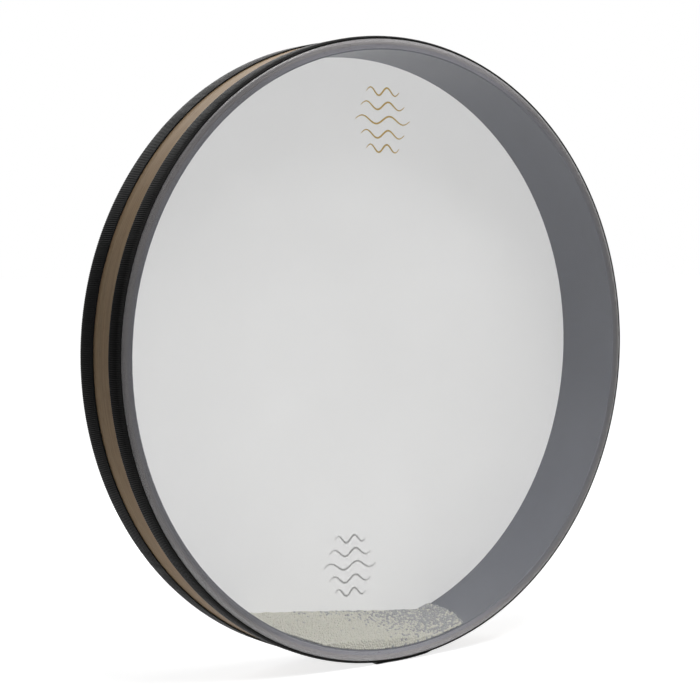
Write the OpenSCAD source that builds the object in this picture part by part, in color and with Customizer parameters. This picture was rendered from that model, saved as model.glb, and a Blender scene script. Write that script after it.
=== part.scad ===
// Ocean drum: a shallow laminated wooden frame with a clear front head, a white back head,
// black ribbed tape over both rims, and small steel pellets that run freely inside.
// The drum stands on its rim: its axis lies along Y, the clear head faces -Y, and Z = 0 is the floor.

/* [Shell] */
// Outside diameter of the wooden shell
shell_d = 558.8; // [400:0.1:700]
// Depth of the shell between its two bearing edges
shell_depth = 71; // [55:0.5:120]
// Thickness of the outer veneer
outer_veneer_t = 1; // [0.6:0.1:2]
// Thickness of each of the five core plies
core_ply_t = 1.7; // [1:0.1:3]
// Thickness of the grey inner veneer
inner_veneer_t = 1; // [0.6:0.1:2]
// Radius of the round on the shell's two outer edges
outer_round = 4.5; // [1:0.1:6]
// Radius of the round on the shell's two inner edges
inner_round = 0.6; // [0.2:0.1:0.9]
// Gap at the butt joint where each ply's two ends meet
seam_gap = 0.3; // [0.1:0.1:1]
// Place of the outer veneer's butt joint, in degrees from the drum's right side
seam_at = 20; // [0:1:359]
// Turn from one ply's butt joint to the next one's, in degrees
seam_step = 27; // [5:1:50]

/* [Heads] */
// Thickness of the film that both heads are made of
film_t = 0.25; // [0.2:0.05:0.6]
// How far each head's skirt stops short of the edge of the tape that covers it
skirt_inset = 1; // [0.5:0.5:6]
// Glue line between the plies, under the heads and under the tapes
glue_t = 0.1; // [0.05:0.05:0.3]

/* [Tapes] */
// Thickness of the ribbed tape
tape_t = 0.8; // [0.5:0.1:1.5]
// Width of the shell's side that the front tape covers
front_tape_w = 18.5; // [10:0.5:26]
// Width of the shell's side that the back tape covers
back_tape_w = 24.8; // [10:0.2:28]
// How far the tape's edge rolls round the shell's rim, in degrees
tape_wrap = 48; // [20:1:60]
// Length of tape that overlaps where its ends meet
tape_overlap = 60; // [20:1:120]
// Place of the tape's free end, in degrees to the left of the lowest point
tape_end_at = 5.3; // [0:0.1:60]

/* [Pellets] */
// Diameter of a pellet
pellet_d = 2.5; // [2:0.1:4]
// Height of the heap of pellets at the front head
heap_front_h = 11; // [8:0.5:40]
// Height of the heap of pellets at the back head
heap_back_h = 24; // [8:0.5:40]
// How far the heap lies to the left of the lowest point, in degrees
heap_swing = 6; // [0:0.5:30]
// Room between the heap and what holds it in
heap_clear = 0.3; // [0.2:0.05:1]
// Number of single pellets on top of the heap
loose_count = 90; // [10:1:150]

/* [Hidden] */
// Segments round a full circle, on the drum and on a pellet, and along a rounded edge
$fn = 360;
pellet_fn = 32;
edge_steps = 8;

// Sides of the drum along its axis
front = 1;
back = -1;

core_plies = 5;
shell_r = shell_d / 2;
half_depth = shell_depth / 2;
core_r = shell_r - outer_veneer_t - glue_t;
core_step = core_ply_t + glue_t;
inner_veneer_r = core_r - core_plies * core_step;
chamber_r = inner_veneer_r - inner_veneer_t;
inner_round_r = min(inner_round, inner_veneer_t);
// Centre of the round on the shell's outer edge, in the half section
bend = [shell_r - outer_round, half_depth - outer_round];

// Height of each layer's surfaces above the wood
film_under = glue_t;
film_top = film_under + film_t;
tape_under = film_top + glue_t;
tape_top = tape_under + tape_t;
tail_top = tape_top + tape_t;
// The tail is fused to the tape below it over half that tape's thickness
tail_under = tape_top - tape_t / 2;

overlap_angle = tape_overlap / shell_r * 180 / PI;
axis_h = shell_r + (tape_end_at < overlap_angle ? tail_top : tape_top);

pellet_r = pellet_d / 2;
pellet_seat = 0.05;
heap_mean_h = (heap_front_h + heap_back_h) / 2;
heap_tilt = atan((heap_back_h - heap_front_h) / shell_depth);
heap_r = chamber_r - heap_clear;
heap_half_depth = half_depth - heap_clear;
// Drop from the axis to the middle of the bed, which lies one pellet below the top of the heap
bed_drop = chamber_r - heap_mean_h + pellet_d / cos(heap_tilt);
pellet_orbit = heap_r - pellet_r - pellet_seat;
pellet_half_depth = heap_half_depth - pellet_d;
// Two irrational steps that scatter points evenly over a rectangle
scatter_u = 0.7548776662;
scatter_v = 0.5698402910;

function fraction(x) = x - floor(x);
function reversed(points) = [for (i = [len(points) - 1 : -1 : 0]) points[i]];
// A half section's points on one side of the drum or the other
function faced(points, side) = [for (p = points) [p.x, side * p.y]];
// Points along an arc, from one angle to another
function arc(centre, radius, from, to) = [
    for (i = [0 : edge_steps])
        let (angle = from + (to - from) * i / edge_steps)
        centre + radius * [cos(angle), sin(angle)]
];
// Points round the shell's outer edge, at a height above the wood, between two angles from the side
function rim_arc(height, from, to) = arc(bend, outer_round + height, from, to);
// Where a radius meets the round on the shell's outer edge, as an angle from the side
function rim_angle(radius) = acos(min(1, (radius - bend.x) / outer_round));
// Edge of a ply between two radii, on the front side
function ply_edge(inner_r, outer_r) = concat(
    inner_r < bend.x ? [[inner_r, half_depth]] : [],
    outer_r > bend.x
        ? rim_arc(0, rim_angle(max(inner_r, bend.x)), rim_angle(outer_r))
        : [[outer_r, half_depth]]
);
// Edge of the inner veneer, with the round towards the chamber
function inner_veneer_edge() = concat(
    arc([chamber_r + inner_round_r, half_depth - inner_round_r], inner_round_r, 180, 90),
    [[inner_veneer_r, half_depth]]
);
// One surface of a head, from its middle over the rim and down the side
function head_path(height, skirt_w) = concat(
    [[0, half_depth + height]],
    rim_arc(height, 90, 0),
    [[shell_r + height, half_depth - skirt_w]]
);
// One surface of a tape, from its edge on the rim and down the side
function tape_path(height, wrap, width) = concat(
    rim_arc(height, wrap, 0),
    [[shell_r + height, half_depth - width]]
);
// The widest wrap at which tape with its top at that height stays behind the head's own plane
function flush_wrap(height) = min(tape_wrap, asin((outer_round + film_top) / (outer_round + height)));
// Height of the centre of a pellet that lies on the bed, at a depth in front of the middle
function pellet_y(depth) = (pellet_r + pellet_seat) / cos(heap_tilt) - bed_drop - depth * tan(heap_tilt);
// Half the width that pellets have at that height
function pellet_half_w(y) = sqrt(pellet_orbit * pellet_orbit - y * y);

// Stands what is drawn about the Z axis on its rim, with its top face to the front
module upright() {
    translate([0, 0, axis_h]) rotate([90, 0, 0]) children();
}

// Places what is drawn for a heap at the lowest point where the heap lies
module heap_place() {
    upright() rotate([0, 0, -heap_swing]) children();
}

// A bent ply with the given front edge, whose two ends meet in an open butt joint at an angle
module ply(edge, outer_r, joint_angle) {
    upright() rotate([0, 0, joint_angle])
        rotate_extrude(angle = 360 - seam_gap / outer_r * 180 / PI)
            polygon(concat(edge, reversed(faced(edge, back))));
}

// A layer between two paths of a half section, all the way round or over an angle
module layer(under, top, side, angle = 360) {
    rotate_extrude(angle = angle) polygon(faced(concat(under, reversed(top)), side));
}

module outer_veneer() {
    color([0.62, 0.5, 0.36]) ply(ply_edge(shell_r - outer_veneer_t, shell_r), shell_r, seam_at);
}

module core_ply(number) {
    outer_r = core_r - (number - 1) * core_step;
    color([0.55, 0.51, 0.47])
        ply(ply_edge(outer_r - core_ply_t, outer_r), outer_r, seam_at + number * seam_step);
}

module inner_veneer() {
    color([0.42, 0.42, 0.45])
        ply(inner_veneer_edge(), inner_veneer_r, seam_at + (core_plies + 1) * seam_step);
}

// A film disc with a skirt that comes down the shell's side under the tape
module head(side, skirt_w) {
    upright() layer(head_path(film_under, skirt_w), head_path(film_top, skirt_w), side);
}

module front_head() {
    color([0.86, 0.9, 0.94, 0.3]) head(front, front_tape_w - skirt_inset);
}

module back_head() {
    color([0.84, 0.84, 0.83]) head(back, back_tape_w - skirt_inset);
}

// A ring of tape over one rim, whose tail lies on its start and ends free near the floor
module tape(side, width) {
    ring_wrap = flush_wrap(tape_top);
    tail_wrap = flush_wrap(tail_top);
    upright() {
        layer(tape_path(tape_under, ring_wrap, width), tape_path(tape_top, ring_wrap, width), side);
        rotate([0, 0, 270 - tape_end_at])
            layer(tape_path(tail_under, tail_wrap, width), tape_path(tail_top, tail_wrap, width),
                side, overlap_angle);
    }
}

module front_tape() {
    color([0.1, 0.1, 0.1]) tape(front, front_tape_w);
}

module back_tape() {
    color([0.1, 0.1, 0.1]) tape(back, back_tape_w);
}

// The packed pellets below the heap's top layer, level with its sloping surface
module pellet_bed() {
    color([0.7, 0.7, 0.67]) heap_place() intersection() {
        cylinder(r = heap_r, h = 2 * heap_half_depth, center = true);
        translate([0, -bed_drop, 0]) rotate([heap_tilt, 0, 0])
            translate([-shell_d, -2 * shell_d, -shell_d]) cube(2 * shell_d);
    }
}

// Single pellets scattered over the top of the bed
module loose_pellets() {
    color([0.74, 0.74, 0.71]) heap_place() for (i = [1 : loose_count]) {
        depth = pellet_half_depth * (2 * fraction(i * scatter_v) - 1);
        y = pellet_y(depth);
        x = pellet_half_w(y) * (2 * fraction(i * scatter_u) - 1);
        translate([x, y, depth]) sphere(d = pellet_d, $fn = pellet_fn);
    }
}

outer_veneer();
core_ply(1);  // core_ply_1
core_ply(2);  // core_ply_2
core_ply(3);  // core_ply_3
core_ply(4);  // core_ply_4
core_ply(5);  // core_ply_5
inner_veneer();
front_head();
back_head();
front_tape();
back_tape();
pellet_bed();
loose_pellets();
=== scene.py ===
"""Looks of the ocean drum: its materials, the woven tapes, the film heads, the pellets, camera and light.

Metres, in the row frame: X to the right, Y from the clear head to the white head, Z up.
"""

import math
import random

import bmesh
import bpy
import numpy as np
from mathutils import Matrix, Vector, kdtree, noise


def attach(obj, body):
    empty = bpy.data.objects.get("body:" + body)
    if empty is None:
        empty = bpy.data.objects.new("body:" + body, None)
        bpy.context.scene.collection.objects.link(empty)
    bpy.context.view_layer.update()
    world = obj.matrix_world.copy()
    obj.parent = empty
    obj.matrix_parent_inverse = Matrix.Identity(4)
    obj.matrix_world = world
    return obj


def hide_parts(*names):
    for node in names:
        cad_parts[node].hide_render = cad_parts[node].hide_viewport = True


SEED = 11

# Sizes that the drum was built to
SHELL_R = 0.2794
HALF_DEPTH = 0.0355
OUTER_ROUND = 0.0045
CHAMBER_R = 0.2683
AXIS_Z = 0.28145
FILM_UNDER = 0.0001
FILM_TOP = 0.00035
TAPE_UNDER = 0.00045
TAPE_T = 0.0008
FRONT_TAPE_W = 0.0185
BACK_TAPE_W = 0.0248
SKIRT_INSET = 0.001
TAPE_WRAP = math.radians(48)
TAIL_START = math.radians(277)
PELLET_D = 0.0025

# The tapes' tails, which roll a little less far round the rim than on the solids and end free a little nearer
# the lowest point: the angles of both, those over which the tails climb on to their own start and peel off near
# their end, and how far the front one lifts
TAIL_WRAP = math.radians(44)
TAIL_END = math.radians(265.6)
TAIL_CLIMB = 0.030
TAIL_PEEL = 0.05
FRONT_TAIL_LIFT = 0.0007

# The heap's surface above the chamber's lowest line: its height at the middle, and its fall to the right
HEAP_BACK_H = 0.0226
HEAP_FRONT_H = 0.0097
HEAP_BACK_FALL = 0.108
HEAP_FRONT_FALL = 0.065
# The thin layer of pellets that runs up the wall at the heap's right end: its thickness, where it stops, how
# far its end is rounded, and the share of its pellets that are there
SPILL_T = 0.0030
SPILL_BACK_X = 0.0915
SPILL_FRONT_X = 0.0770
SPILL_BULGE = 0.0045
SPILL_SHARE = 0.80
# How deep the pellets show below the heap's top and behind the clear head
TOP_ROWS = 1.7 * PELLET_D
FRONT_ROWS = 1.5 * PELLET_D

# The ribs of the tape, which run across its width
RIB_COUNT = 980
RIB_HEIGHT = 0.00019
RIB_SHAPE = (-1.0, -0.2, 0.8, 0.8, -0.2)

# The tape's top, from its edge on the rim to its other edge, as shares of its width, of its thickness and of
# its ribs' height, and the share of its width that lies on the bend
TAPE_CROWN = ((0.0, 0.7, 0.0), (0.010, 0.97, 0.0), (0.03, 1.0, 0.1), (0.07, 1.0, 0.6), (0.14, 1.0, 1.0),
              (0.21, 1.0, 1.0), (0.28, 1.0, 1.0), (0.62, 1.0, 1.0), (0.975, 1.0, 1.0), (0.990, 0.97, 0.7),
              (1.0, 0.7, 0.4))
TAPE_BEND_SHARE = 0.28

# How far the tape's other edge wanders slowly, and from rib to rib
EDGE_DRIFT = 0.00025
EDGE_STEP = 0.00008

# Middle of the part of the clear film's bend that gets no painted highlight, in half turns from the left side
# upwards
GLOSS_ONLY_BEND_AT = 0.15

FRONT = -1
BACK = 1

PAINTED_PLIES = ("core_ply_4", "core_ply_5")
BARE_PLIES = ("core_ply_1", "core_ply_2", "core_ply_3")

# Camera, found from the photo's ellipses
CAMERA_AT = Vector((-0.9115, -1.2234, 0.3623))
CAMERA_LOOK = Vector((0.5850, 0.8093, -0.0529))
CAMERA_LENS = 85.91
CAMERA_SENSOR = 36


class Graph:
    """A node tree that is written as nested calls."""

    def __init__(self, tree):
        self.tree = tree
        tree.nodes.clear()

    def add(self, kind, inputs=None, **settings):
        """A new node, with its settings and with constants or links on its inputs."""
        made = self.tree.nodes.new(kind)
        for name, value in settings.items():
            setattr(made, name, value)
        for name, value in (inputs or {}).items():
            if isinstance(value, bpy.types.NodeSocket):
                self.tree.links.new(value, made.inputs[name])
            else:
                made.inputs[name].default_value = value
        return made

    def math(self, operation, first, second=0.0):
        return self.add("ShaderNodeMath", {0: first, 1: second}, operation=operation).outputs[0]

    def noise(self, vector, scale, detail=3.0, roughness=0.55):
        inputs = {"Vector": vector, "Scale": scale, "Detail": detail, "Roughness": roughness}
        return self.add("ShaderNodeTexNoise", inputs).outputs["Fac"]

    def ramp(self, value, stops):
        """A colour or grey that runs through (place, colour) stops."""
        made = self.add("ShaderNodeValToRGB", {"Fac": value})
        band = made.color_ramp.elements
        while len(band) < len(stops):
            band.new(0.5)
        for element, (place, colour) in zip(band, stops):
            element.position = place
            element.color = colour
        return made.outputs["Color"]

    def blend(self, amount, first, second, kind="MIX"):
        """A mix of two colours, which a Mix node takes at its inputs 6 and 7 and gives at its output 2."""
        made = self.add("ShaderNodeMix", data_type="RGBA", blend_type=kind)
        for socket, value in ((0, amount), (6, first), (7, second)):
            if isinstance(value, bpy.types.NodeSocket):
                self.tree.links.new(value, made.inputs[socket])
            else:
                made.inputs[socket].default_value = value
        return made.outputs[2]

    def bump(self, height, strength, distance):
        inputs = {"Height": height, "Strength": strength, "Distance": distance}
        return self.add("ShaderNodeBump", inputs).outputs["Normal"]

    def stretched(self, vector, scale):
        made = self.add("ShaderNodeMapping", {"Vector": vector, "Scale": scale})
        return made.outputs["Vector"]

    def place(self):
        return self.add("ShaderNodeTexCoord").outputs["Object"]

    def part(self, vector, axis):
        return self.add("ShaderNodeSeparateXYZ", {"Vector": vector}).outputs[axis]

    def vector(self, operation, first, second=(0.0, 0.0, 0.0)):
        return self.add("ShaderNodeVectorMath", {0: first, 1: second}, operation=operation).outputs[0]

    def seen_directly(self):
        """1 for rays from the camera and for those that a mirror or a clear film sends on, or else 0."""
        ray = self.add("ShaderNodeLightPath")
        seen = self.math("MAXIMUM", ray.outputs["Is Camera Ray"], ray.outputs["Is Glossy Ray"])
        return self.math("MAXIMUM", seen, ray.outputs["Is Transmission Ray"])

    def round_the_drum(self):
        """Place on the drum as (length round it, depth, radius), with the join at its right side."""
        parts = self.add("ShaderNodeSeparateXYZ", {"Vector": self.place()})
        across = self.math("MULTIPLY", parts.outputs["X"], -1.0)
        up = self.math("SUBTRACT", parts.outputs["Z"], AXIS_Z)
        angle = self.math("ARCTAN2", up, across)
        length = self.math("MULTIPLY", angle, SHELL_R)
        reach = self.math("SQRT", self.math("ADD", self.math("MULTIPLY", up, up),
                                            self.math("MULTIPLY", across, across)))
        made = self.add("ShaderNodeCombineXYZ", {"X": length, "Y": parts.outputs["Y"], "Z": reach})
        return made.outputs["Vector"]

    def ridged_normal(self, height, tilt):
        """The surface's normal, leaned towards or away from the drum's axis by a height from 0 to 1."""
        away = self.vector("SUBTRACT", self.place(), (0.0, 0.0, AXIS_Z))
        out = self.vector("NORMALIZE", self.vector("MULTIPLY", away, (1.0, 0.0, 1.0)))
        lean = self.math("MULTIPLY", self.math("SUBTRACT", height, 0.5), 2 * tilt)
        side = self.add("ShaderNodeVectorMath", {0: out, "Scale": lean}, operation="SCALE")
        face = self.add("ShaderNodeNewGeometry").outputs["Normal"]
        return self.vector("NORMALIZE", self.vector("ADD", face, side.outputs[0]))

    def surface(self, shader):
        self.add("ShaderNodeOutputMaterial", {"Surface": shader})


def grey(value):
    return (value, value, value, 1.0)


def srgb(red, green, blue):
    """A linear colour from 0 to 255 screen values."""
    linear = []
    for value in (red, green, blue):
        part = value / 255
        linear.append(part / 12.92 if part <= 0.04045 else ((part + 0.055) / 1.055) ** 2.4)
    return (*linear, 1.0)


def new_material(name):
    material = bpy.data.materials.new(name)
    material.use_nodes = True
    return material, Graph(material.node_tree)


def wood_material(name, light, dark, pores, gloss, shine):
    """Bent wood with its grain along the band: slow bands, fibres and short pores."""
    material, graph = new_material(name)
    place = graph.round_the_drum()
    bands = graph.noise(graph.stretched(place, (1.6, 60.0, 60.0)), 1.0, 4.0, 0.6)
    fibres = graph.noise(graph.stretched(place, (14.0, 900.0, 900.0)), 1.0, 3.0, 0.6)
    short = graph.noise(graph.stretched(place, (90.0, 1900.0, 1900.0)), 1.0, 1.0, 0.5)
    body = graph.ramp(bands, ((0.32, dark), (0.68, light)))
    streaks = graph.ramp(fibres, ((0.3, grey(0.72)), (0.7, grey(1.0))))
    colour = graph.blend(1.0, body, streaks, "MULTIPLY")
    pits = graph.ramp(short, ((0.28, grey(1.0)), (0.36, grey(0.0))))
    colour = graph.blend(graph.math("MULTIPLY", pits, 0.6), colour, pores)
    height = graph.math("SUBTRACT", fibres, graph.math("MULTIPLY", pits, 0.6))
    roughness = graph.ramp(fibres, ((0.2, grey(gloss)), (0.8, grey(gloss + 0.15))))
    shader = graph.add("ShaderNodeBsdfPrincipled", {
        "Base Color": colour,
        "Roughness": roughness,
        "Specular IOR Level": shine,
        "Normal": graph.bump(height, 0.25, 0.0002),
    })
    graph.surface(shader.outputs["BSDF"])
    return material


def ply_edge_material(name, light, dark):
    """The sanded edge of a ply: fibres and sanding lines run round the drum, each one a small ridge.

    It is painted darker at the drum's sides and paler towards its top and bottom, as painted shade and painted
    sheen.
    """
    material, graph = new_material(name)
    place = graph.round_the_drum()
    height = graph.math("SUBTRACT", graph.part(graph.place(), "Z"), AXIS_Z)
    rise = graph.math("ABSOLUTE", graph.math("DIVIDE", height, SHELL_R))
    # Painted shade and sheen: darker at the drum's sides, paler towards its top and bottom
    painted_side_shade = graph.ramp(rise, ((0.2, grey(0.34)), (0.8, grey(0.5)), (1.0, grey(1.05))))
    lines = graph.noise(graph.stretched(place, (3.0, 900.0, 2400.0)), 1.0, 2.0, 0.7)
    bands = graph.noise(graph.stretched(place, (3.0, 300.0, 420.0)), 1.0, 3.0, 0.6)
    flecks = graph.noise(graph.stretched(place, (260.0, 700.0, 900.0)), 1.0, 1.0, 0.5)
    body = graph.ramp(bands, ((0.3, dark), (0.7, light)))
    spots = graph.ramp(flecks, ((0.30, grey(0.78)), (0.42, grey(1.0))))
    shader = graph.add("ShaderNodeBsdfPrincipled", {
        "Base Color": graph.blend(1.0, graph.blend(1.0, body, spots, "MULTIPLY"), painted_side_shade, "MULTIPLY"),
        "Roughness": graph.ramp(lines, ((0.3, grey(0.45)), (0.7, grey(0.60)))),
        "Specular IOR Level": 0.1,
        "Normal": graph.ridged_normal(graph.ramp(lines, ((0.3, grey(0.0)), (0.7, grey(1.0)))), 0.7),
    })
    graph.surface(shader.outputs["BSDF"])
    return material


def satin_paint_material(name, light, dark):
    """Satin paint on veneer: the grain shows only as faint long ripples."""
    material, graph = new_material(name)
    place = graph.round_the_drum()
    slow = graph.noise(graph.stretched(place, (5.0, 40.0, 40.0)), 1.0, 3.0, 0.5)
    grain = graph.noise(graph.stretched(place, (20.0, 600.0, 600.0)), 1.0, 3.0, 0.6)
    body = graph.ramp(slow, ((0.3, dark), (0.7, light)))
    streaks = graph.ramp(grain, ((0.3, grey(0.95)), (0.7, grey(1.0))))
    shader = graph.add("ShaderNodeBsdfPrincipled", {
        "Base Color": graph.blend(1.0, body, streaks, "MULTIPLY"),
        "Roughness": graph.ramp(grain, ((0.3, grey(0.32)), (0.7, grey(0.40)))),
        "Specular IOR Level": 0.8,
        "Normal": graph.bump(grain, 0.05, 0.0002),
    })
    graph.surface(shader.outputs["BSDF"])
    return material


def clear_film_material():
    """Clear polyester: it mirrors more at a glancing angle, and has faint dust and rubbed patches.

    Where it is drawn over the rim its gloss is blurred, and it is painted paler there, as a painted highlight
    along the bend, except at the upper left.
    """
    material, graph = new_material("clear_film")
    place = graph.place()
    cloud = graph.noise(place, 9.0, 4.0, 0.6)
    dust = graph.noise(place, 900.0, 1.0, 0.5)
    specks = graph.ramp(dust, ((0.70, grey(0.0)), (0.78, grey(1.0))))
    veil = graph.ramp(cloud, ((0.35, grey(0.010)), (0.75, grey(0.022))))
    haze_and_painted_highlight = graph.math("ADD", veil, graph.math("MULTIPLY", specks, 0.02))
    facing = graph.add("ShaderNodeFresnel", {"IOR": 1.45}).outputs["Fac"]
    outside = graph.math("SUBTRACT", 1.0, graph.add("ShaderNodeNewGeometry").outputs["Backfacing"])
    mirror = graph.math("MULTIPLY", facing, outside)
    spot = graph.add("ShaderNodeSeparateXYZ", {"Vector": graph.round_the_drum()})
    reach = graph.math("DIVIDE", spot.outputs["Z"], SHELL_R)
    drawn = graph.ramp(reach, ((0.982, grey(0.0)), (0.988, grey(0.18))))
    rubbed = graph.ramp(cloud, ((0.3, grey(0.03)), (0.8, grey(0.10))))
    roughness = graph.math("ADD", rubbed, drawn)
    turn = graph.math("DIVIDE", spot.outputs["X"], math.pi * SHELL_R)
    from_gloss_only = graph.math("ABSOLUTE", graph.math("SUBTRACT", turn, GLOSS_ONLY_BEND_AT))
    # Painted highlight: the bend is made paler all round, except near the upper left
    painted_fold_highlight = graph.ramp(from_gloss_only, ((0.24, grey(0.0)), (0.36, grey(0.75))))
    haze_and_painted_highlight = graph.math("ADD", haze_and_painted_highlight, graph.math("MULTIPLY", drawn, painted_fold_highlight))
    clear = graph.add("ShaderNodeBsdfTransparent", {"Color": (0.985, 0.985, 0.985, 1.0)})
    haze_and_highlight_white = graph.add("ShaderNodeBsdfDiffuse", {"Color": (0.9, 0.9, 0.9, 1.0)})
    gloss = graph.add("ShaderNodeBsdfGlossy", {"Color": (1.0, 1.0, 1.0, 1.0), "Roughness": roughness})
    through = graph.add("ShaderNodeMixShader", {0: haze_and_painted_highlight, 1: clear.outputs[0], 2: haze_and_highlight_white.outputs[0]})
    whole = graph.add("ShaderNodeMixShader", {0: mirror, 1: through.outputs[0], 2: gloss.outputs[0]})
    graph.surface(whole.outputs[0])
    return material


def white_film_material():
    """White sprayed coating on film, which lets part of the light through and has a fine grain."""
    material, graph = new_material("white_film")
    place = graph.place()
    grain = graph.noise(place, 1400.0, 2.0, 0.6)
    cloud = graph.noise(place, 7.0, 3.0, 0.5)
    base = graph.ramp(cloud, ((0.3, (0.78, 0.78, 0.775, 1.0)), (0.7, (0.81, 0.81, 0.805, 1.0))))
    speckle = graph.ramp(grain, ((0.3, grey(0.97)), (0.7, grey(1.0))))
    colour = graph.blend(1.0, base, speckle, "MULTIPLY")
    bumped = graph.bump(grain, 0.2, 0.00005)
    coating = graph.add("ShaderNodeBsdfPrincipled", {
        "Base Color": colour,
        "Roughness": 0.55,
        "Specular IOR Level": 0.3,
        "Normal": bumped,
    })
    through = graph.add("ShaderNodeBsdfTranslucent", {"Color": colour})
    film = graph.add("ShaderNodeMixShader", {0: 0.5, 1: coating.outputs[0], 2: through.outputs[0]})
    # The film's far face lets light on to the near one, so both together act as one sheet
    far_face = graph.add("ShaderNodeNewGeometry").outputs["Backfacing"]
    clear = graph.add("ShaderNodeBsdfTransparent", {"Color": grey(1.0)})
    whole = graph.add("ShaderNodeMixShader", {0: far_face, 1: film.outputs[0], 2: clear.outputs[0]})
    graph.surface(whole.outputs[0])
    return material


def tape_material():
    """Black woven tape: each rib is bound by fine yarns, and shines at a glancing angle.

    It is painted paler where it rolls over the rim, as a painted sheen, and darker at its selvedge, as painted
    shade.
    """
    material, graph = new_material("ribbed_tape")
    place = graph.round_the_drum()
    yarn = graph.noise(graph.stretched(place, (700.0, 2600.0, 700.0)), 1.0, 2.0, 0.6)
    wear = graph.noise(graph.stretched(place, (25.0, 60.0, 60.0)), 1.0, 3.0, 0.6)
    dark = graph.ramp(wear, ((0.3, (0.052, 0.052, 0.052, 1.0)), (0.75, (0.078, 0.078, 0.076, 1.0))))
    threads = graph.ramp(yarn, ((0.3, grey(0.55)), (0.7, grey(1.0))))
    # Painted shade and sheen: darker in the valleys between the ribs, paler on their crests
    crest = graph.add("ShaderNodeNewGeometry").outputs["Pointiness"]
    ribs = graph.ramp(crest, ((0.44, grey(0.15)), (0.56, grey(1.0))))
    depth = graph.math("DIVIDE", graph.math("ABSOLUTE", graph.part(place, "Y")), HALF_DEPTH)
    # Painted sheen and shade: paler where the tape rolls over the rim, darker at its selvedge
    rubbed = graph.ramp(depth, ((0.85, grey(0.4)), (0.91, grey(1.0)), (0.975, grey(1.0)), (0.99, grey(0.2))))
    colour = graph.blend(1.0, graph.blend(1.0, dark, threads, "MULTIPLY"), ribs, "MULTIPLY")
    colour = graph.blend(1.0, colour, rubbed, "MULTIPLY")
    bumped = graph.bump(yarn, 0.3, 0.0001)
    shader = graph.add("ShaderNodeBsdfPrincipled", {
        "Base Color": colour,
        "Roughness": graph.ramp(yarn, ((0.3, grey(0.62)), (0.7, grey(0.80)))),
        "Specular IOR Level": 0.0,
        "Normal": bumped,
    })
    facing = graph.add("ShaderNodeLayerWeight", {"Blend": 0.5}).outputs["Facing"]
    shine = graph.math("MINIMUM", graph.math("MULTIPLY", graph.math("POWER", facing, 8.0), 0.5), 0.26)
    gloss = graph.add("ShaderNodeBsdfGlossy", {"Color": grey(1.0), "Roughness": 0.3, "Normal": bumped})
    whole = graph.add("ShaderNodeMixShader", {0: shine, 1: shader.outputs["BSDF"], 2: gloss.outputs[0]})
    graph.surface(whole.outputs[0])
    return material


def pellet_material(name, light, dark, metal):
    """Steel shot, plated or bare, dulled unevenly from pellet to pellet."""
    material, graph = new_material(name)
    place = graph.place()
    each = graph.noise(place, 330.0, 1.0, 0.5)
    fine = graph.noise(place, 2600.0, 2.0, 0.6)
    colour = graph.ramp(each, ((0.32, dark), (0.6, light)))
    shader = graph.add("ShaderNodeBsdfPrincipled", {
        "Base Color": colour,
        "Metallic": metal,
        "Roughness": graph.ramp(fine, ((0.3, grey(0.45)), (0.7, grey(0.60)))),
        "Normal": graph.bump(fine, 0.15, 0.00005),
    })
    graph.surface(shader.outputs["BSDF"])
    return material


def ink_material(name, colour, worn, metal):
    """Printed ink with a slightly uneven lay."""
    material, graph = new_material(name)
    lay = graph.noise(graph.place(), 500.0, 3.0, 0.6)
    shader = graph.add("ShaderNodeBsdfPrincipled", {
        "Base Color": graph.ramp(lay, ((0.3, worn), (0.65, colour))),
        "Metallic": metal,
        "Roughness": graph.ramp(lay, ((0.3, grey(0.5)), (0.7, grey(0.35)))),
        "Normal": graph.bump(lay, 0.2, 0.00005),
    })
    graph.surface(shader.outputs["BSDF"])
    return material


def floor_material():
    """Matt white paper, white to the camera where no shadow falls."""
    material, graph = new_material("floor_paper")
    place = graph.place()
    fibre = graph.noise(place, 60.0, 3.0, 0.6)
    colour = graph.ramp(fibre, ((0.3, grey(0.70)), (0.7, grey(0.74))))
    paper = graph.add("ShaderNodeBsdfDiffuse", {"Color": colour})
    away = graph.add("ShaderNodeVectorMath", {0: place}, operation="LENGTH").outputs["Value"]
    share = graph.math("MULTIPLY", away, 0.25)
    glow = graph.ramp(share, ((0.15, grey(0.80)), (0.6, grey(1.0))))
    lift = graph.add("ShaderNodeEmission", {"Color": glow, "Strength": 1.0})
    both = graph.add("ShaderNodeAddShader", {0: paper.outputs[0], 1: lift.outputs[0]})
    seen = graph.seen_directly()
    whole = graph.add("ShaderNodeMixShader", {0: seen, 1: paper.outputs[0], 2: both.outputs[0]})
    graph.surface(whole.outputs[0])
    return material


def new_piece(name, points, faces, material, smooth=True):
    """A mesh object from points and faces, in the row frame."""
    mesh = bpy.data.meshes.new(name)
    mesh.from_pydata(points, [], faces)
    mesh.polygons.foreach_set("use_smooth", [smooth] * len(mesh.polygons))
    mesh.materials.append(material)
    mesh.update()
    piece = bpy.data.objects.new(name, mesh)
    bpy.context.scene.collection.objects.link(piece)
    return piece


def facing_out(piece):
    """Turns every face of a closed piece outwards."""
    work = bmesh.new()
    work.from_mesh(piece.data)
    bmesh.ops.recalc_face_normals(work, faces=work.faces)
    work.to_mesh(piece.data)
    work.free()
    return piece


def on_drum(radius, depth, angle):
    """A point at a radius, a depth along Y and an angle round the axis, counter-clockwise from the right."""
    return (radius * math.cos(angle), depth, AXIS_Z + radius * math.sin(angle))


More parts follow.
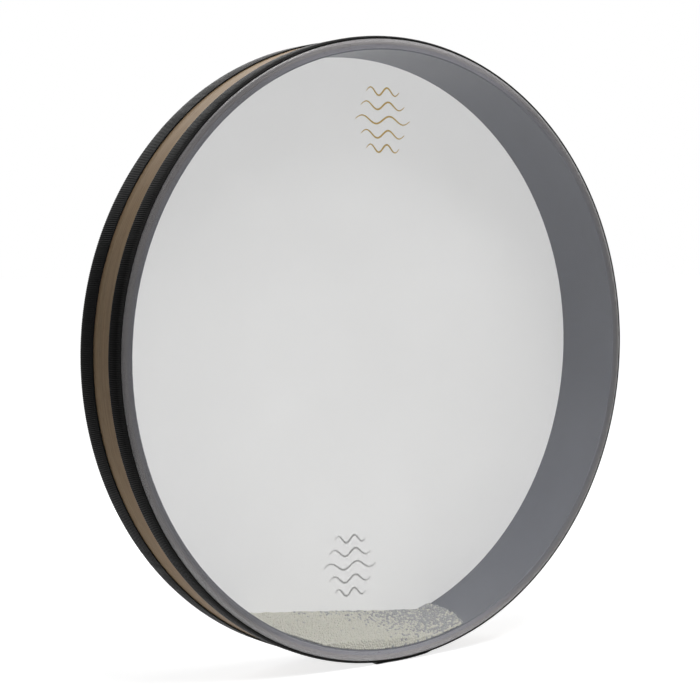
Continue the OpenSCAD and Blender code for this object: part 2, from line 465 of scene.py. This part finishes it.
def revolved(name, path, steps, material):
    """A closed body from a half section of (radius, depth) points whose first and last lie on the axis."""
    points = [on_drum(0, path[0][1], 0), on_drum(0, path[-1][1], 0)]
    inside = path[1:-1]
    for step in range(steps):
        angle = 2 * math.pi * step / steps
        points.extend(on_drum(radius, depth, angle) for radius, depth in inside)
    count = len(inside)
    faces = []
    for step in range(steps):
        here = 2 + step * count
        there = 2 + (step + 1) % steps * count
        faces.append((0, here, there))
        for row in range(count - 1):
            faces.append((here + row, here + row + 1, there + row + 1, there + row))
        faces.append((here + count - 1, 1, there + count - 1))
    return facing_out(new_piece(name, points, faces, material))


def rim_point(height, angle):
    """A point of the half section round the shell's outer edge, at a height above the wood."""
    reach = OUTER_ROUND + height
    radius = SHELL_R - OUTER_ROUND + reach * math.cos(angle)
    depth = HALF_DEPTH - OUTER_ROUND + reach * math.sin(angle)
    return (radius, depth)


def head_piece(name, side, skirt_w, material):
    """A film head: a flat disc that bends over the rim into a skirt under the tape."""
    def surface(height):
        flat = [(radius, HALF_DEPTH + height) for radius in (0.09, 0.18, 0.25, 0.268)]
        bend = [rim_point(height, math.radians(90 - 7.5 * step)) for step in range(13)]
        return flat + bend + [(SHELL_R + height, HALF_DEPTH - skirt_w)]

    outside = [(0, HALF_DEPTH + FILM_TOP)] + surface(FILM_TOP)
    inside = surface(FILM_UNDER)[::-1] + [(0, HALF_DEPTH + FILM_UNDER)]
    path = [(radius, side * depth) for radius, depth in outside + inside]
    steps = 512
    return revolved(name, path, steps, material)


def smooth_step(value):
    value = min(1.0, max(0.0, value))
    return value * value * (3 - 2 * value)


def tape_section(height, rib, wrap, width):
    """The closed outline of the tape's section: rounded selvedges, the one on the rim without ribs."""
    def at(level, share):
        if share < TAPE_BEND_SHARE:
            return rim_point(level, wrap * (1 - share / TAPE_BEND_SHARE))
        along = (share - TAPE_BEND_SHARE) / (1 - TAPE_BEND_SHARE)
        return (SHELL_R + level, HALF_DEPTH - OUTER_ROUND - along * (width - OUTER_ROUND))

    top = height + TAPE_T
    outline = []
    for share, full, ribbed in TAPE_CROWN:
        outline.append(at(height + (top - height) * full + rib * ribbed, share))
    for share in (1.0, TAPE_BEND_SHARE, TAPE_BEND_SHARE / 2, 0.0):
        outline.append(at(height, share))
    return outline


def tape_piece(name, side, width, material, lift):
    """Ribbed tape once round the rim, which starts near the floor and ends free on top of its start."""
    chance = random.Random(SEED + side)
    turn = 2 * math.pi + TAIL_START - TAIL_END
    rib_angle = 2 * math.pi / RIB_COUNT
    columns = int(turn / rib_angle * len(RIB_SHAPE))
    points = []
    faces = []
    count = 0
    swell = 1.0
    sway = 0.0
    for column in range(columns + 1):
        done = column / columns * turn
        angle = TAIL_START + 2 * math.pi - done
        over = done - 2 * math.pi
        phase = column % len(RIB_SHAPE)
        if phase == 0:
            swell = chance.uniform(0.8, 1.15)
            sway = chance.uniform(-1, 1)
        climb = smooth_step((over + TAIL_CLIMB) / TAIL_CLIMB)
        peel = lift * smooth_step((over - (TAIL_START - TAIL_END) + TAIL_PEEL) / TAIL_PEEL)
        height = TAPE_UNDER + TAPE_T * climb + peel
        wrap = TAPE_WRAP + (TAIL_WRAP - TAPE_WRAP) * climb
        drift = noise.noise(Vector((math.cos(angle) * 9, math.sin(angle) * 9, side * 5 + over)))
        edge = width + EDGE_DRIFT * drift + EDGE_STEP * sway + EDGE_STEP * RIB_SHAPE[phase]
        outline = tape_section(height, RIB_HEIGHT * swell * RIB_SHAPE[phase], wrap, edge)
        count = len(outline)
        points.extend(on_drum(radius, side * depth, angle) for radius, depth in outline)
    for column in range(columns):
        here = column * count
        there = here + count
        for row in range(count):
            beside = (row + 1) % count
            faces.append((here + row, here + beside, there + beside, there + row))
    faces.append(tuple(range(count)))
    faces.append(tuple(columns * count + row for row in reversed(range(count))))
    return facing_out(new_piece(name, points, faces, material))


def wall_height(x):
    """Height of the chamber's wall above its lowest line."""
    return CHAMBER_R - math.sqrt(CHAMBER_R ** 2 - x ** 2)


def heap_top(x, y):
    """Height of the heap's surface above the chamber's lowest line, or of the bare wall beside it."""
    back_share = y / (2 * HALF_DEPTH) + 0.5
    level = HEAP_FRONT_H + (HEAP_BACK_H - HEAP_FRONT_H) * back_share
    fall = HEAP_FRONT_FALL + (HEAP_BACK_FALL - HEAP_FRONT_FALL) * back_share
    ripple = 0.0006 * noise.noise(Vector((x * 40, y * 60, 3.0)))
    plane = level - fall * x + ripple
    wall = wall_height(x)
    spill_end = SPILL_FRONT_X + (SPILL_BACK_X - SPILL_FRONT_X) * back_share
    spill_end += SPILL_BULGE * 4 * back_share * (1 - back_share)
    if x > spill_end:
        return min(plane, wall)
    if x > 0:
        return max(plane, wall + SPILL_T)
    return plane


def settled_pellets():
    """Centres of pellets that fill the heap: scattered, then pushed apart again and again in its bounds."""
    chance = random.Random(SEED)
    radius = PELLET_D / 2
    gap = 0.0001
    reach = CHAMBER_R - radius - gap
    deep = HALF_DEPTH - radius - gap
    uneven = 0.0006
    rounds = 36
    ease = 0.8
    share = 0.60
    volume = 4 / 3 * math.pi * radius ** 3
    left = -0.140
    right = 0.096
    tall = 0.040
    tries = int(share * (right - left) * (2 * HALF_DEPTH) * tall / volume)
    lowest = AXIS_Z - CHAMBER_R
    centres = []
    roof = []
    for _ in range(tries):
        x = chance.uniform(left, right)
        y = chance.uniform(-HALF_DEPTH, HALF_DEPTH)
        z = chance.uniform(0, tall)
        if wall_height(x) < z < heap_top(x, y):
            centres.append((x, y, lowest + z))
            roof.append(chance.uniform(0, uneven))
    centres = np.array(centres)
    roof = np.array(roof)
    for _ in range(rounds):
        tree = kdtree.KDTree(len(centres))
        for index, centre in enumerate(centres):
            tree.insert(centre, index)
        tree.balance()
        moves = np.zeros_like(centres)
        for index, centre in enumerate(centres):
            for _near, other, apart in tree.find_range(centre, PELLET_D):
                if other > index and apart > 1e-9:
                    push = (centre - centres[other]) * (0.5 * (PELLET_D - apart) / apart)
                    moves[index] += push
                    moves[other] -= push
        centres += ease * moves
        centres[:, 1] = np.clip(centres[:, 1], -deep, deep)
        ceiling = np.array([lowest + heap_top(x, y) - radius for x, y, _z in centres]) - roof
        centres[:, 2] = np.minimum(centres[:, 2], ceiling)
        out = np.hypot(centres[:, 0], centres[:, 2] - AXIS_Z)
        far = out > reach
        centres[far, 0] *= reach / out[far]
        centres[far, 2] = AXIS_Z + (centres[far, 2] - AXIS_Z) * reach / out[far]
    return [tuple(centre) for centre in centres]


def dull_share(x, y):
    """Share of bare grey pellets: most at the heap's right end, some along its back, fewer in front."""
    right_end = smooth_step((x + 0.37 * y + 0.034) / 0.128)
    back_edge = smooth_step((y - 0.018) / 0.014) * smooth_step((x + 0.075) / 0.05)
    share = max(right_end, 0.4 * back_edge)
    if y < FRONT_ROWS - HALF_DEPTH:
        share *= 0.5
    clump = 0.5 * noise.noise(Vector((130 * x, 130 * y, 3.0)))
    return 0.01 + 0.95 * share * min(1.0, max(0.3, 1.0 + 1.6 * clump))


def pellet_pieces(plated, bare):
    """The pellets that show on top of the heap or through the clear head, in three strips of its depth."""
    lowest = AXIS_Z - CHAMBER_R
    ball_r = 0.54 * PELLET_D
    strips = {"pellets_front": [], "pellets_middle": [], "pellets_back": []}
    names = list(strips)
    chance = random.Random(SEED)
    for x, y, z in settled_pellets():
        below = lowest + heap_top(x, y) - z
        behind = y + HALF_DEPTH
        thin = heap_top(x, y) < wall_height(x) + 1.1 * SPILL_T
        if thin and chance.random() > SPILL_SHARE:
            continue
        if below < TOP_ROWS or behind < FRONT_ROWS:
            strip = min(2, int(3 * behind / (2 * HALF_DEPTH)))
            dull = chance.random() < dull_share(x, y)
            strips[names[strip]].append((x, y, z, dull))
    ball = bmesh.new()
    bmesh.ops.create_icosphere(ball, subdivisions=2, radius=ball_r)
    shape = [tuple(vert.co) for vert in ball.verts]
    sides = [tuple(vert.index for vert in face.verts) for face in ball.faces]
    ball.free()
    made = []
    for name, centres in strips.items():
        points = []
        faces = []
        kinds = []
        for x, y, z, dull in centres:
            first = len(points)
            points.extend((x + dx, y + dy, z + dz) for dx, dy, dz in shape)
            faces.extend(tuple(first + corner for corner in side) for side in sides)
            kinds.extend([int(dull)] * len(sides))
        piece = new_piece(name, points, faces, plated)
        piece.data.materials.append(bare)
        piece.data.polygons.foreach_set("material_index", kinds)
        made.append(piece)
    return made


def heap_core(material):
    """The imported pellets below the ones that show, as one lumpy body."""
    columns = 96
    rows = 30
    lowest = AXIS_Z - CHAMBER_R
    inset = 0.5 * PELLET_D
    floor_gap = 0.0006
    grid = 0.0005
    near = -HALF_DEPTH + inset
    far = HALF_DEPTH - floor_gap
    points = []
    for row in range(rows + 1):
        y = near + (far - near) * row / rows
        deep = [x for x in (grid * step for step in range(-280, 190))
                if heap_top(x, y) - inset > wall_height(x) + 2 * floor_gap]
        across = [deep[0] + (deep[-1] - deep[0]) * column / columns for column in range(columns + 1)]
        for x in across:
            lump = 0.0004 * noise.noise(Vector((x * 500, y * 500, 1.0)))
            points.append((x, y, lowest + heap_top(x, y) - inset + lump))
        points.extend((x, y, lowest + wall_height(x) + floor_gap) for x in across)
    width = columns + 1
    faces = []
    for row in range(rows):
        here = row * 2 * width
        there = here + 2 * width
        for column in range(columns):
            faces.append((here + column, here + column + 1, there + column + 1, there + column))
            low = width + column
            faces.append((here + low, there + low, there + low + 1, here + low + 1))
        for end in (0, columns):
            faces.append((here + end, there + end, there + width + end, here + width + end))
    for here in (0, rows * 2 * width):
        for column in range(columns):
            low = here + width + column
            faces.append((here + column, low, low + 1, here + column + 1))
    return facing_out(new_piece("pellet_core", points, faces, material))


def wave_print(name, centre, depth, side, material):
    """Five printed wave strokes on a head, as thin raised ink."""
    length = 0.060
    rise = 0.0034
    gap = 0.0125
    waves = 2.0
    pen = 0.0008
    steps = 96
    thick = 0.00004
    points = []
    faces = []
    for stroke in (-2, -1, 0, 1, 2):
        long = length * (1 - 0.2 * abs(stroke))
        first = len(points)
        for step in range(steps + 1):
            share = step / steps
            x = long * (share - 0.5)
            wave = 2 * math.pi * waves * share
            z = rise * math.sin(wave) + gap * stroke
            slope = rise * math.cos(wave) * 2 * math.pi * waves / long
            half = pen * math.sin(math.pi * (0.06 + 0.88 * share)) ** 0.6
            across = Vector((-slope, 1.0)).normalized() * half
            for sign in (-1, 1):
                flat = Vector((x, z)) + sign * across
                for level in (0.0, thick):
                    points.append((centre[0] + flat.x, depth + side * level, centre[1] + flat.y))
        for step in range(steps):
            here = first + 4 * step
            there = here + 4
            for one, two in ((0, 1), (1, 3), (3, 2), (2, 0)):
                faces.append((here + one, here + two, there + two, there + one))
        faces.append((first, first + 1, first + 3, first + 2))
        last = first + 4 * steps
        faces.append((last, last + 2, last + 3, last + 1))
    return facing_out(new_piece(name, points, faces, material, smooth=False))


def paint_node(frame, name, material):
    piece = frame["nodes"][name]
    piece.data.materials.clear()
    piece.data.materials.append(material)


def dress(piece, body, slot, *nodes):
    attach(piece, body)
    if nodes:
        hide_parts(*nodes)


def build_shell(frame):
    veneer = wood_material(
        "tan_wood", srgb(182, 156, 125), srgb(168, 142, 111), srgb(108, 85, 62), gloss=0.40, shine=0.05)
    bare = ply_edge_material("ply_wood", srgb(188, 183, 185), srgb(172, 167, 169))
    painted = ply_edge_material("ply_wood_washed", srgb(180, 179, 188), srgb(164, 163, 172))
    inner = satin_paint_material("grey_wood", srgb(80, 84, 97), srgb(75, 79, 92))
    paint_node(frame, "outer_veneer", veneer)
    paint_node(frame, "inner_veneer", inner)
    for name in BARE_PLIES:
        paint_node(frame, name, bare)
    for name in PAINTED_PLIES:
        paint_node(frame, name, painted)


def build_heads():
    front = head_piece("clear_head", FRONT, FRONT_TAPE_W - SKIRT_INSET, clear_film_material())
    dress(front, "drum", "clear_film", "front_head")
    back = head_piece("white_head", BACK, BACK_TAPE_W - SKIRT_INSET, white_film_material())
    dress(back, "drum", "white_film", "back_head")


def build_tapes():
    woven = tape_material()
    front = tape_piece("front_ribbed_tape", FRONT, FRONT_TAPE_W, woven, FRONT_TAIL_LIFT)
    dress(front, "drum", "ribbed_tape", "front_tape")
    back = tape_piece("back_ribbed_tape", BACK, BACK_TAPE_W, woven, 0.0)
    dress(back, "drum", "ribbed_tape", "back_tape")


def build_pellets():
    metal = 0.3
    plated = pellet_material("pellet_steel", (0.66, 0.65, 0.575, 1.0), (0.60, 0.59, 0.525, 1.0), metal)
    bare = pellet_material("pellet_bare", (0.40, 0.405, 0.415, 1.0), (0.33, 0.335, 0.345, 1.0), metal)
    # The core's steel is a slightly darker copy of the plated steel, as painted shade in the gaps between the
    # pellets
    shade = pellet_material("pellet_shade", (0.64, 0.625, 0.54, 1.0), (0.57, 0.555, 0.48, 1.0), metal)
    core = heap_core(shade)
    dress(core, "pellet_heap", "pellet_steel", "pellet_bed")
    for piece in pellet_pieces(plated, bare):
        dress(piece, "pellet_heap", "pellet_steel", "loose_pellets")


def build_prints():
    gold = ink_material("gold_ink", srgb(186, 160, 92), srgb(160, 132, 70), 0.35)
    front = wave_print("front_print", (-0.0173, 0.4872), -HALF_DEPTH - FILM_TOP, FRONT, gold)
    back = wave_print("back_print", (-0.0010, 0.0778), HALF_DEPTH + FILM_TOP, BACK, gold)
    dress(front, "drum", "clear_film")
    dress(back, "drum", "white_film")


def add_floor():
    half = 30.0
    outline = [(-half, -half, 0), (half, -half, 0), (half, half, 0), (-half, half, 0)]
    floor = new_piece("floor", outline, [(0, 1, 2, 3)], floor_material(), smooth=False)


def add_area_light(name, at, target, width, height, power, mirrored=True):
    lamp = bpy.data.lights.new(name, "AREA")
    lamp.shape = "RECTANGLE"
    lamp.size = width
    lamp.size_y = height
    lamp.energy = power
    holder = bpy.data.objects.new(name, lamp)
    holder.location = at
    holder.rotation_euler = (Vector(target) - Vector(at)).to_track_quat("-Z", "Y").to_euler()
    holder.visible_camera = False
    holder.visible_glossy = mirrored
    bpy.context.scene.collection.objects.link(holder)


def add_world():
    """Soft room light that is stronger from above, and plain white where it is seen."""
    world = bpy.data.worlds.new("studio")
    bpy.context.scene.world = world
    world.use_nodes = True
    graph = Graph(world.node_tree)
    up = graph.part(graph.add("ShaderNodeTexCoord").outputs["Generated"], "Z")
    fade = graph.ramp(up, ((0.05, grey(0.01)), (0.9, grey(0.08))))
    light = graph.add("ShaderNodeBackground", {"Color": fade, "Strength": 1.0})
    white = graph.add("ShaderNodeBackground", {"Color": grey(1.0), "Strength": 1.0})
    seen = graph.seen_directly()
    whole = graph.add("ShaderNodeMixShader", {0: seen, 1: light.outputs[0], 2: white.outputs[0]})
    graph.add("ShaderNodeOutputWorld", {"Surface": whole.outputs[0]})


def add_lights():
    add_world()
    middle = (0.0, 0.0, AXIS_Z)
    add_area_light("overhead_softbox", (0.0, -0.95, 2.4), middle, 1.3, 1.2, 36)
    add_area_light("front_softbox", (1.5, -1.8, 2.0), middle, 1.6, 1.0, 4)
    add_area_light("back_softbox", (-0.05, 0.94, 0.36), middle, 0.9, 0.5, 2.0)
    add_area_light("rim_softbox", (0.05, 1.5, 1.45), (0.0, 0.0, 0.5), 1.3, 0.6, 6)
    add_area_light(
        "floor_card", (-0.03, -0.17, 0.016), (-0.03, -0.03, 0.016), 0.46, 0.03, 0.05, mirrored=False)


def add_camera():
    lens = bpy.data.cameras.new("camera")
    lens.lens = CAMERA_LENS
    lens.sensor_width = CAMERA_SENSOR
    lens.clip_start = 0.01
    lens.clip_end = 200
    holder = bpy.data.objects.new("camera", lens)
    holder.rotation_mode = "QUATERNION"
    holder.location = CAMERA_AT
    holder.rotation_quaternion = CAMERA_LOOK.to_track_quat("-Z", "Y")
    bpy.context.scene.collection.objects.link(holder)
    bpy.context.scene.camera = holder


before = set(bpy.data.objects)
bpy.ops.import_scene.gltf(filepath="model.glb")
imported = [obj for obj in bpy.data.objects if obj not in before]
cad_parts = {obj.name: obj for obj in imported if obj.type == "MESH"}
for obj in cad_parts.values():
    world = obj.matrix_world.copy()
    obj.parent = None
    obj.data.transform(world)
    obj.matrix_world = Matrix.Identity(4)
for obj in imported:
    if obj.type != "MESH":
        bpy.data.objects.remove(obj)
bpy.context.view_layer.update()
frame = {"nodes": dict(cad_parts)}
build_shell(frame)
build_heads()
build_tapes()
build_pellets()
build_prints()
add_floor()
add_lights()
add_camera()
bpy.context.scene.view_settings.view_transform = "Standard"
